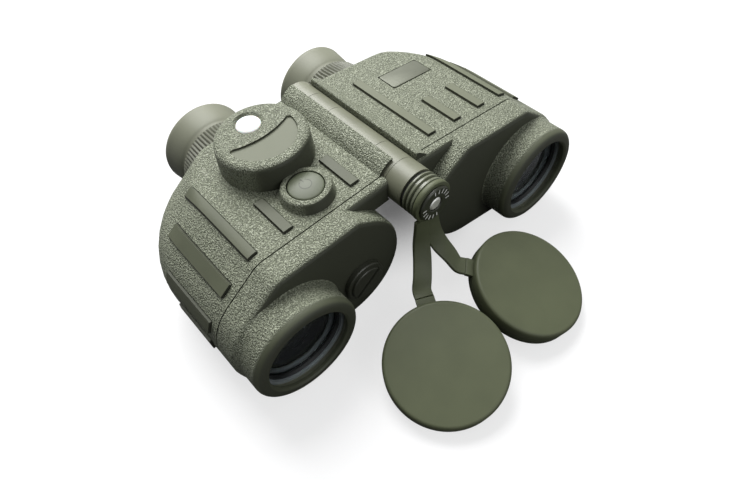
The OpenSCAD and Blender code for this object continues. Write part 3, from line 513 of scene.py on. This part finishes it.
# Eyepieces: a fixed aluminium barrel, a turning focus ring with fine ridges, and a sliding tube with
# the lenses and a smooth rubber eyecup that flares to its rim. The lenses are coated like the
# objectives.
EYE_U, EYE_W = 36.3, -26.6
EYECUP = ((14.95, 110.6), (19.5, 110.6), (19.5, 116.2), (19.75, 116.7), (20.15, 118.0),
          (20.6, 121.0), (21.05, 124.4), (21.4, 127.4), (21.6, 128.7), (21.45, 129.5),
          (20.95, 129.8), (20.2, 129.75), (19.5, 129.3), (18.6, 127.6), (17.2, 125.2),
          (16.4, 124.4), (14.95, 123.8))
RING_START, RING_END = 96.1, 114.0
RING_FRONT_R, RING_TAPER = 22.8, 2.1
RING_BORE, RING_SEAT, RING_SEAT_END, RING_LEAST_R = 17.05, 19.9, 107.4, 20.2
RIDGES, RIDGE_STEPS = 72, 8
RIDGE_DEEP, RING_EDGE_DEEP = 0.62, 0.45


def soft_rubber(name, colour, rough, mottle=0.06, shine=0.4):
    """Smooth moulded rubber with a faint cloudiness and a very fine matt surface."""
    finish, shader, at = new_finish(name)
    cloud, fine = at.noise(70.0, 4.0), at.noise(3200.0, 2.0)
    low, high = [[c * k for c in colour[:3]] + [1] for k in (1 - mottle, 1 + mottle)]
    cloud.fade(0.3, 0.7).blend(low, high).into(shader, "Base Color")
    (rough + cloud * 0.08 - fine * 0.06).into(shader, "Roughness")
    shader.inputs["Specular IOR Level"].default_value = shine
    fine.bump(shader, 0.3, 0.02 * mm)
    return finish


def ridge_sink(out, y):
    """How far a point of the focus ring's outside sinks between ridges and towards the ends."""
    turns = atan2(out.y, out.x) / (2 * pi) * RIDGES
    hill = 0.5 + 0.5 * cos(2 * pi * turns)
    inward = max(0, min(1, (y - RING_START) / 1.1, (RING_END - y) / 1.0))
    sink = RIDGE_DEEP * (1 - hill ** 0.7) + RING_EDGE_DEEP * (1 - inward ** 0.5)
    return min(sink, out.length - RING_LEAST_R)


eyecup_rubber = soft_rubber("eyecup_rubber", shade(116, 118, 102), 0.50, 0.04, 0.3)
ring_rubber = soft_rubber("ring_rubber", shade(86, 88, 74), 0.42)
eye_glass = coated_glass("coated_eye_glass", (0.85, 0.80, 1.0, 1))
for half, side in SIDES:
    dress(aluminium, f"{half}_eye_barrel")
    dress(anodised, f"{half}_ocular_tube")
    dress(eye_glass, f"{half}_eye_glass", f"{half}_field_glass")

    bm = turned(EYECUP, EYE_U, EYE_W, 128)
    piece(f"{half}_eyecup_rubber", bm, stand(side), f"{half}_ocular", eyecup_rubber,
          [f"{half}_eyecup"], sharp=60)

    rows = [RING_START, 96.5, 97.2, 99.0, 102.0, 105.0, 108.0, 111.0, 113.0, 113.6, RING_END]
    taper = [(RING_FRONT_R - RING_TAPER * (y - RING_START) / (RING_END - RING_START), y) for y in rows]
    bore = [(RING_SEAT, RING_END), (RING_SEAT, RING_SEAT_END), (RING_BORE, RING_SEAT_END),
            (RING_BORE, RING_START)]
    bm = turned(taper + bore, EYE_U, EYE_W, RIDGES * RIDGE_STEPS)
    for vert in bm.verts:
        out = Vector((vert.co.x - EYE_U, vert.co.z - EYE_W))
        if out.length > RING_LEAST_R:
            inward = out / out.length * ridge_sink(out, vert.co.y)
            vert.co -= Vector((inward.x, 0, inward.y))
    piece(f"{half}_ridged_ring", bm, stand(side), f"{half}_ring", ring_rubber,
          [f"{half}_focus_ring"], sharp=55)


# Reticle: a thin glass plate between the fixed barrel's end and its seat on the plain side, with the
# ranging scale etched into it as plain ticks on a cross.
SCALE_STEP, SCALE_HALF, SCALE_Y = 0.6, 9, 88.49
STROKE, SHORT_TICK, LONG_TICK = 0.05, 0.5, 0.9


def etched(bm, across, high, wide, tall):
    """One stroke of the scale."""
    made = bmesh.ops.create_cube(bm, size=1)["verts"]
    bmesh.ops.scale(bm, vec=(wide, 0.02, tall), verts=made)
    bmesh.ops.translate(bm, vec=(EYE_U + across, SCALE_Y, EYE_W + high), verts=made)


dress(optical_glass("reticle_glass", (0.97, 0.99, 0.98, 1)), "reticle_plate")
etching, etching_shader, at = new_finish("etched_scale")
grit = at.noise(4000.0, 2.0)
grit.blend(shade(12, 12, 12), shade(30, 30, 30)).into(etching_shader, "Base Color")
(0.6 + grit * 0.2).into(etching_shader, "Roughness")
bm = bmesh.new()
etched(bm, 0, 0, 6.0, 0.06)
etched(bm, 0, 0, 0.06, 6.0)
for k in range(-SCALE_HALF, SCALE_HALF + 1):
    if k:
        tick = SHORT_TICK if k % 5 else LONG_TICK
        etched(bm, SCALE_STEP * k, 0, STROKE, tick)
        etched(bm, 0, SCALE_STEP * k, tick, STROKE)
piece("reticle_scale", bm, stand(1), "right_half", etching)


# Nameplate: a bare plate of satin grey metal pressed into a shallow pocket in the top of the plain
# side. Its edges are rounded, and a fine dark line shows round it where the pocket is a little larger.
PLATE_SIZE = (23.1, 10.7, 0.8)
PLATE_MIDDLE = (46.5, 69.6, TOP_W - 0.2)
PLATE_CORNER, PLATE_EDGE = 1.3, 0.12


def plate_metal():
    finish, shader, at = new_finish("nameplate_metal")
    brushed = at.node("Mapping", (), {"Vector": at, "Scale": (0.04, 1, 1)}).noise(3000.0, 2.0)
    shader.inputs["Metallic"].default_value = 0.3
    brushed.blend(shade(80, 83, 70), shade(94, 97, 83)).into(shader, "Base Color")
    (0.46 + brushed * 0.12).into(shader, "Roughness")
    brushed.bump(shader, 0.25, 0.01 * mm)
    return finish


bm = bmesh.new()
bmesh.ops.create_cube(bm, size=1)
bmesh.ops.scale(bm, vec=PLATE_SIZE, verts=bm.verts)
bmesh.ops.translate(bm, vec=PLATE_MIDDLE, verts=bm.verts)
corners = [e for e in bm.edges if abs(e.verts[0].co.z - e.verts[1].co.z) > PLATE_SIZE[2] / 2]
round_off(bm, corners, PLATE_CORNER, 6)
soften(bm, PLATE_EDGE, 2, 60)
piece("bare_nameplate", bm, stand(1), "right_half", plate_metal(), ["nameplate"],
      sharp=30)


# Compass: a sealed bowl with its window, card and pivot under the drum top, lit through a milky dome
# that is bonded into a countersunk hole.
DOME_Y, DOME_R, DOME_FOOT, DOME_EDGE, DOME_RISE, DOME_STEPS = DRUM_Y + 9, 5.3, 15.8, 16.8, 1.5, 12
TICKS_END, FINE_START, LONG_START = 12.9, 11.6, 8.6


def plastic(name, colour, rough, coat=0.0):
    finish, shader, at = new_finish(name)
    cloud = at.noise(250.0, 3.0)
    low, high = [[c * k for c in colour[:3]] + [1] for k in (0.96, 1.03)]
    cloud.blend(low, high).into(shader, "Base Color")
    (rough + cloud * 0.06).into(shader, "Roughness")
    shader.inputs["Coat Weight"].default_value = coat
    cloud.bump(shader, 0.1, 0.02 * mm)
    return finish


def compass_dial():
    """A pale card with fine ticks all round it and a long mark at each quarter."""
    finish, shader, at = new_finish("compass_dial")
    u, y, _ = body_axes(at, -1)
    out, behind = u - DRUM_U, y - DRUM_Y
    turns = behind.calc("ARCTAN2", out) / (2 * pi)
    from_centre = radius(out, behind)
    fine = abs((turns * 72).calc("FRACT") - 0.5).fade(0.30, 0.38)
    quarter = abs((turns * 4).calc("FRACT") - 0.5).fade(0.490, 0.495)
    ticks = fine * from_centre.fade(FINE_START, FINE_START + 0.2)
    ticks = ticks.most(quarter * from_centre.fade(LONG_START, LONG_START + 0.2))
    ticks = ticks * (1 - from_centre.fade(TICKS_END, TICKS_END + 0.1))
    ticks.blend(shade(222, 220, 205), shade(30, 32, 30)).into(shader, "Base Color")
    (0.5 + at.noise(2000.0, 2.0) * 0.1).into(shader, "Roughness")
    return finish


def upright(profile, u, y, steps=96):
    """A disc or ring in millimetres, spun about an upright axis; profile points are (radius, height)."""
    bm = turned(profile, 0, 0, steps, closed=False)
    bm.transform(Matrix.Translation((u, y, 0)) @ Matrix.Rotation(pi / 2, 4, "X"))
    return bm


dress(plastic("dark_plastic", shade(44, 46, 44), 0.42), "compass_bowl", "switch_body")
dress(optical_glass("compass_window_glass", (0.97, 0.98, 0.98, 1)), "compass_window")
dress(compass_dial(), "compass_card")
dress(bare_metal("bright_steel", shade(214, 214, 210), 0.18, 0.03), "compass_pivot", "hinge_pin")
milky = plastic("milky_plastic", shade(238, 240, 238), 0.16, 0.5)
milky_shader = milky.node_tree.nodes["Principled BSDF"]
milky_shader.inputs["Subsurface Weight"].default_value = 0.15
milky_shader.inputs["Subsurface Scale"].default_value = 1 * mm
arc = [k * pi / 2 / DOME_STEPS for k in range(DOME_STEPS)]
dome = [(0, DOME_FOOT), (DOME_R, DOME_FOOT)]
dome += [(DOME_R * cos(a), DOME_EDGE + DOME_RISE * sin(a)) for a in arc]
dome += [(0, DOME_EDGE + DOME_RISE)]
bm = upright(dome, DRUM_U, DOME_Y)
piece("milky_dome", bm, stand(-1), "left_half", milky, ["compass_dome"], sharp=50)


# Power button: a soft rubber key in a raised boss, with a gap round it, a gently domed top and a
# moulded sign of an open ring and a bar. Its plunger stands on a switch on the circuit board.
BUTTON_U, BUTTON_Y = 34.2, 39.2
KEY_R, KEY_TOP, KEY_DOME, DOME_EDGE_R = 7.3, 11.0, 0.86, 6.6
button_rubber = soft_rubber("button_rubber", shade(78, 84, 65), 0.46)
key = [(0, 2.2), (2.4, 2.2), (2.4, 7.5), (KEY_R, 7.5), (KEY_R, 9.6), (7.22, 9.85), (7.0, 10.02)]
key += [(DOME_EDGE_R * k / 8, KEY_TOP - KEY_DOME * (k / 8) ** 2) for k in range(8, -1, -1)]
bm = upright(key, BUTTON_U, BUTTON_Y)
piece("button_key", bm, stand(-1), "button", button_rubber, ["power_button"],
      sharp=50)

bm = bmesh.new()
section = ((2.25, 0, 10.75), (2.62, 0, 10.75), (2.62, 0, 10.9), (2.25, 0, 10.93))
square = bm.faces.new([bm.verts.new(point) for point in section])
bmesh.ops.spin(bm, geom=[square, *square.edges, *square.verts], cent=(0, 0, 0), axis=(0, 0, 1),
               angle=radians(300), steps=50)
opening_back = Matrix.Rotation(radians(120), 3, "Z")
bmesh.ops.rotate(bm, cent=(0, 0, 0), matrix=opening_back, verts=bm.verts)
bar = bmesh.ops.create_cube(bm, size=1)["verts"]
bmesh.ops.scale(bm, vec=(0.38, 2.6, 0.2), verts=bar)
bmesh.ops.translate(bm, vec=(0, 2.0, 10.87), verts=bar)
bmesh.ops.translate(bm, vec=(BUTTON_U, BUTTON_Y, 0), verts=bm.verts)
sign_rubber = soft_rubber("sign_rubber", shade(56, 60, 46), 0.5)
piece("button_sign", bm, stand(-1), "button", sign_rubber)


# Electronics: a small green board on two posts with the switch, and a lithium cell with a brass
# contact in a sealed tube. The tube's cap unscrews by the slot across its face.
def board_varnish():
    finish, shader, at = new_finish("board_varnish")
    tracks = at.node("TexBrick", (), {"Vector": at, "Scale": 400.0, "Mortar Size": 0.01,
                                      "Color1": shade(20, 74, 44), "Color2": shade(24, 84, 50),
                                      "Mortar": shade(70, 120, 70)})
    tracks.into(shader, "Base Color")
    (0.25 + at.noise(600.0, 2.0) * 0.1).into(shader, "Roughness")
    return finish


dress(board_varnish(), "circuit_board")
dress(plastic("battery_wrap", shade(150, 152, 156), 0.3), "battery")
dress(bare_metal("contact_brass", shade(214, 178, 96), 0.25, 0.1), "battery_contact")
dress(soft_rubber("battery_cap_paint", shade(58, 60, 50), 0.36), "battery_cap")


# Hinge front: a black seal ring, a ridged collar screwed on the hinge pin, and an end disc held by a
# bright screw, with a plain tick scale for the eye distance in two rows. The strap's hub turns on the
# collar behind the disc.
TICK_SIZE, TICK_PLACE = (0.42, 0.08, 2.0), (0, 3.0, 6.1)
TICK_ROWS, TICKS_PER_ROW, TICK_SPACING = (48, 228), 6, 20


def on_hinge():
    """Places millimetres along the hinge axis in the object."""
    return Matrix.Translation((0, FRONT_Y, HINGE_Z)) @ Matrix.Scale(mm, 4)


dress(soft_rubber("seal_rubber", shade(24, 25, 22), 0.35), "hinge_seal")
dress(soft_rubber("collar_paint", shade(100, 104, 86), 0.26), "hinge_collar")
dress(soft_rubber("disc_paint", shade(46, 49, 38), 0.36), "hinge_disc")
dress(bare_metal("polished_screw", shade(250, 250, 247), 0.40, 1), "centre_screw")
white_paint = plastic("white_paint", shade(250, 250, 246), 0.5)
bm = bmesh.new()
for row_middle in TICK_ROWS:
    for k in range(TICKS_PER_ROW):
        made = bmesh.ops.create_cube(bm, size=1)["verts"]
        bmesh.ops.scale(bm, vec=TICK_SIZE, verts=made)
        bmesh.ops.translate(bm, vec=TICK_PLACE, verts=made)
        angle = row_middle - 90 + TICK_SPACING * (k - (TICKS_PER_ROW - 1) / 2)
        turn = Matrix.Rotation(radians(angle), 3, "Y").transposed()
        bmesh.ops.rotate(bm, cent=(0, 0, 0), matrix=turn, verts=made)
piece("disc_ticks", bm, on_hinge(), "right_half", white_paint)


# Cap strap: one olive rubber moulding, a hub ring with two flat straps that curve down to the
# objective caps on the table. The caps are soft cups with a rolled edge that hang on the straps' ends.
# A cap lies at x and y with its tilt, the way it leans and its turn in degrees.
CAP_R, CAP_H, CAP_EDGE, CAP_INSIDE, CAP_FLOOR = 25.35, 8.0, 1.6, 24.15, 1.6
STRAP_WIDE, STRAP_THICK, STRAP_ROUND = 8.0, 1.8, 0.5
TAB_END, TAB_Z, TAB_ROOT = 2.4, -4.2, 0.6
CAPS = {"left": (-28.6, -33.9, 17, 223, -160), "right": (25.1, -31.7, 20, 296, -166)}
HUB_Y = 5.6
HUB = ((6.05, 4.4), (9.1, 4.4), (9.4, 4.7), (9.4, 6.5), (9.1, 6.8), (6.05, 6.8))
LEFT_ROUTE = [((-4.4, HUB_Y, -7.2), (-1, 0, 0)), ((-4.6, HUB_Y, -13), (-1, 0, 0.1)),
              ((-5.4, HUB_Y - 1, -20), (-1, 0.2, 0.2)), ((-7.8, 1.2, -26.6), (-0.85, 0.45, 0.25)),
              ((-11.4, -2.8, -31.8), (-0.9, 0.45, 0.1))]
RIGHT_ROUTE = [((0.6, HUB_Y, -7.2), (-1, 0, 0)), ((0.8, HUB_Y, -13), (-1, 0, 0)),
               ((1.4, 4.2, -19.4), (-1, 0.1, 0)), ((2.5, 1.2, -24.6), (-1, 0.1, 0)),
               ((4, -3.4, -29.2), (-0.9, -0.3, -0.05))]
cap_rubber = soft_rubber("cap_rubber", shade(80, 85, 63), 0.50, 0.05, 0.3)


def cap_place(x, y, tilt, lean, spin):
    """Where a cap lies, in millimetres from the hinge: its frame has z out of the closed face."""
    high = CAP_H * cos(radians(tilt)) + CAP_R * sin(radians(tilt)) - HINGE_Z / mm
    leaned, tilted, spun = [Matrix.Rotation(radians(a), 4, axis)
                            for a, axis in ((lean, "Z"), (tilt, "Y"), (spin, "Z"))]
    return Matrix.Translation((x, y, high)) @ leaned @ tilted @ spun


def cap_leg(half):
    """The last two points of a strap's route, along the cap's tab."""
    place = cap_place(*CAPS[half])
    across = place.to_3x3() @ Vector((0, 1, 0))
    return [(place @ Vector((CAP_R + TAB_END + past, 0, TAB_Z)), across) for past in (4.4, 0.95)]


def smooth_step(values, x):
    """A curve through evenly spaced values, at step x."""
    i = min(len(values) - 2, int(x))
    t = x - i
    a, b, c, d = (values[k] for k in (max(0, i - 1), i, i + 1, min(len(values) - 1, i + 2)))
    return (2 * b + (c - a) * t + (2 * a - 5 * b + 4 * c - d) * t ** 2
            + (3 * b - a - 3 * c + d) * t ** 3) / 2


def ribbon(bm, route, thick):
    """A flat strap with rounded edges along a route of (point, width direction)."""
    middles = [Vector(point) for point, _ in route]
    widths = [Vector(wide).normalized() for _, wide in route]
    far_x, far_z, r = STRAP_WIDE / 2 - STRAP_ROUND, thick / 2 - STRAP_ROUND, STRAP_ROUND
    outline = []
    for cx, cz, first in ((far_x, far_z, 0), (-far_x, far_z, 90), (-far_x, -far_z, 180),
                          (far_x, -far_z, 270)):
        outline += [(cx + r * cos(radians(first + a)), cz + r * sin(radians(first + a)))
                    for a in (0, 30, 60, 90)]
    last = len(route) - 1
    steps = last * 12
    rings = []
    for step in range(steps + 1):
        x = step * last / steps
        ahead = smooth_step(middles, min(last, x + 0.02))
        along = (ahead - smooth_step(middles, max(0, x - 0.02))).normalized()
        face = along.cross(smooth_step(widths, x)).normalized()
        across, middle = face.cross(along), smooth_step(middles, x)
        rings.append([bm.verts.new(middle + across * p + face * q) for p, q in outline])
    edges = [[bm.edges.new((ring[k - 1], ring[k])) for k in range(len(ring))] for ring in rings]
    for one, other in zip(edges, edges[1:]):
        bmesh.ops.bridge_loops(bm, edges=one + other)
    for ring in (edges[0], edges[-1]):
        bmesh.ops.contextual_create(bm, geom=ring)


bm = turned(HUB, 0, 0)
ribbon(bm, LEFT_ROUTE + cap_leg("left"), STRAP_THICK)
ribbon(bm, RIGHT_ROUTE + cap_leg("right"), STRAP_THICK - 0.1)
piece("strap_moulding", bm, on_hinge(), "strap", cap_rubber, ["cap_strap"], sharp=50)

quarter_turn = [k * pi / 16 for k in range(9)]
cup = [(0, 0)]
cup += [(CAP_R - CAP_EDGE + CAP_EDGE * sin(a), -CAP_EDGE + CAP_EDGE * cos(a)) for a in quarter_turn]
cup += [(CAP_R, 0.3 - CAP_H), (CAP_R - 0.3, -CAP_H), (CAP_INSIDE + 0.3, -CAP_H),
        (CAP_INSIDE, 0.3 - CAP_H), (CAP_INSIDE, -2.4), (CAP_INSIDE - 0.7, -CAP_FLOOR), (0, -CAP_FLOOR)]
tab_long = TAB_ROOT + TAB_END + STRAP_THICK / 2
for half, _ in SIDES:
    bm = upright(cup, 0, 0, 160)
    tab = bmesh.ops.create_cube(bm, size=1)["verts"]
    bmesh.ops.scale(bm, vec=(tab_long, STRAP_WIDE, STRAP_THICK), verts=tab)
    bmesh.ops.translate(bm, vec=(CAP_R - TAB_ROOT + tab_long / 2, 0, TAB_Z), verts=tab)
    far = [v for v in tab if v.co.x > CAP_R]
    across = [e for e in bm.edges if e.verts[0] in far and e.verts[1] in far
              and abs(e.verts[0].co.y - e.verts[1].co.y) > 1]
    round_off(bm, across, STRAP_THICK / 2 - 0.02, 6)
    piece(f"{half}_cap_cup", bm, on_hinge() @ cap_place(*CAPS[half]), f"{half}_lid", cap_rubber,
          [f"{half}_cap"], sharp=50)
